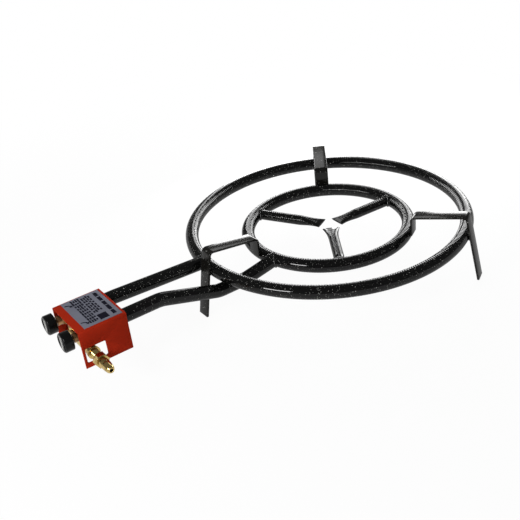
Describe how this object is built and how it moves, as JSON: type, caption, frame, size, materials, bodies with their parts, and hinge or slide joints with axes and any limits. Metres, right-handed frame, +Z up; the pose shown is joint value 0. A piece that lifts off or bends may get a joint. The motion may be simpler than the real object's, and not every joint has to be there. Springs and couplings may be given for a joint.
{
  "type": "paella burner",
  "caption": "Ring burner for a paella pan: enamelled tube rings on bent strip legs, fed through tubes from a red control cover with push-and-turn gas taps and a side inlet.",
  "frame": {"origin": "on the ground under the middle of the overall length and width", "axes": "+Z up, +X from the control cover towards the rings, +Y towards the feed tube of the outer ring"},
  "size_m": [0.6434, 0.419, 0.0952],
  "materials": {
    "enamel": "black gloss enamel with fine pale specks",
    "red_coat": "orange-red powder coat, satin",
    "brass": "turned, bright",
    "steel": "plain sheet",
    "label": "printed foil plate, satin",
    "fibre": "pressed fibre",
    "knob_plastic": "moulded black plastic, satin"
  },
  "bodies": {
    "burner_frame": {"outer_ring": "enamel", "inner_ring": "enamel", "centre_arm_right": "enamel", "centre_arm_back": "enamel", "centre_arm_front": "enamel", "outer_feed_tube": "enamel", "inner_feed_tube": "enamel", "support_left": "enamel", "support_back": "enamel", "support_right": "enamel", "carrier_plate": "steel", "carrier_screws": "steel", "control_cover": "red_coat", "label_plate": "label", "gas_manifold": "brass", "manifold_cap": "brass", "inlet_washer": "fibre", "inlet_connector": "brass", "inlet_nut": "brass", "tap_body_left": "brass", "tap_body_right": "brass", "tap_bonnet_left": "brass", "tap_bonnet_right": "brass", "injector_left": "brass", "injector_right": "brass"},
    "left_plug": {"tap_plug_left": "brass", "tap_spring_left": "steel"},
    "right_plug": {"tap_plug_right": "brass", "tap_spring_right": "steel"},
    "left_knob": {"tap_spindle_left": "brass", "knob_left": "knob_plastic"},
    "right_knob": {"tap_spindle_right": "brass", "knob_right": "knob_plastic"}
  },
  "joints": [
    {"name": "turn_left", "type": "hinge", "parent": "burner_frame", "child": "left_plug", "pos_m": [-0.28875, 0.025, 0.0705], "axis": [-1, 0, 0], "range_deg": [0, 90]},
    {"name": "push_left", "type": "slide", "parent": "left_plug", "child": "left_knob", "axis": [1, 0, 0], "range_m": [0, 0.0025], "stiffness_N_per_m": 1200, "springref_m": -0.002, "deforming": ["tap_spring_left"]},
    {"name": "turn_right", "type": "hinge", "parent": "burner_frame", "child": "right_plug", "pos_m": [-0.28875, -0.025, 0.0705], "axis": [-1, 0, 0], "range_deg": [0, 90]},
    {"name": "push_right", "type": "slide", "parent": "right_plug", "child": "right_knob", "axis": [1, 0, 0], "range_m": [0, 0.0025], "stiffness_N_per_m": 1200, "springref_m": -0.002, "deforming": ["tap_spring_right"]}
  ]
}
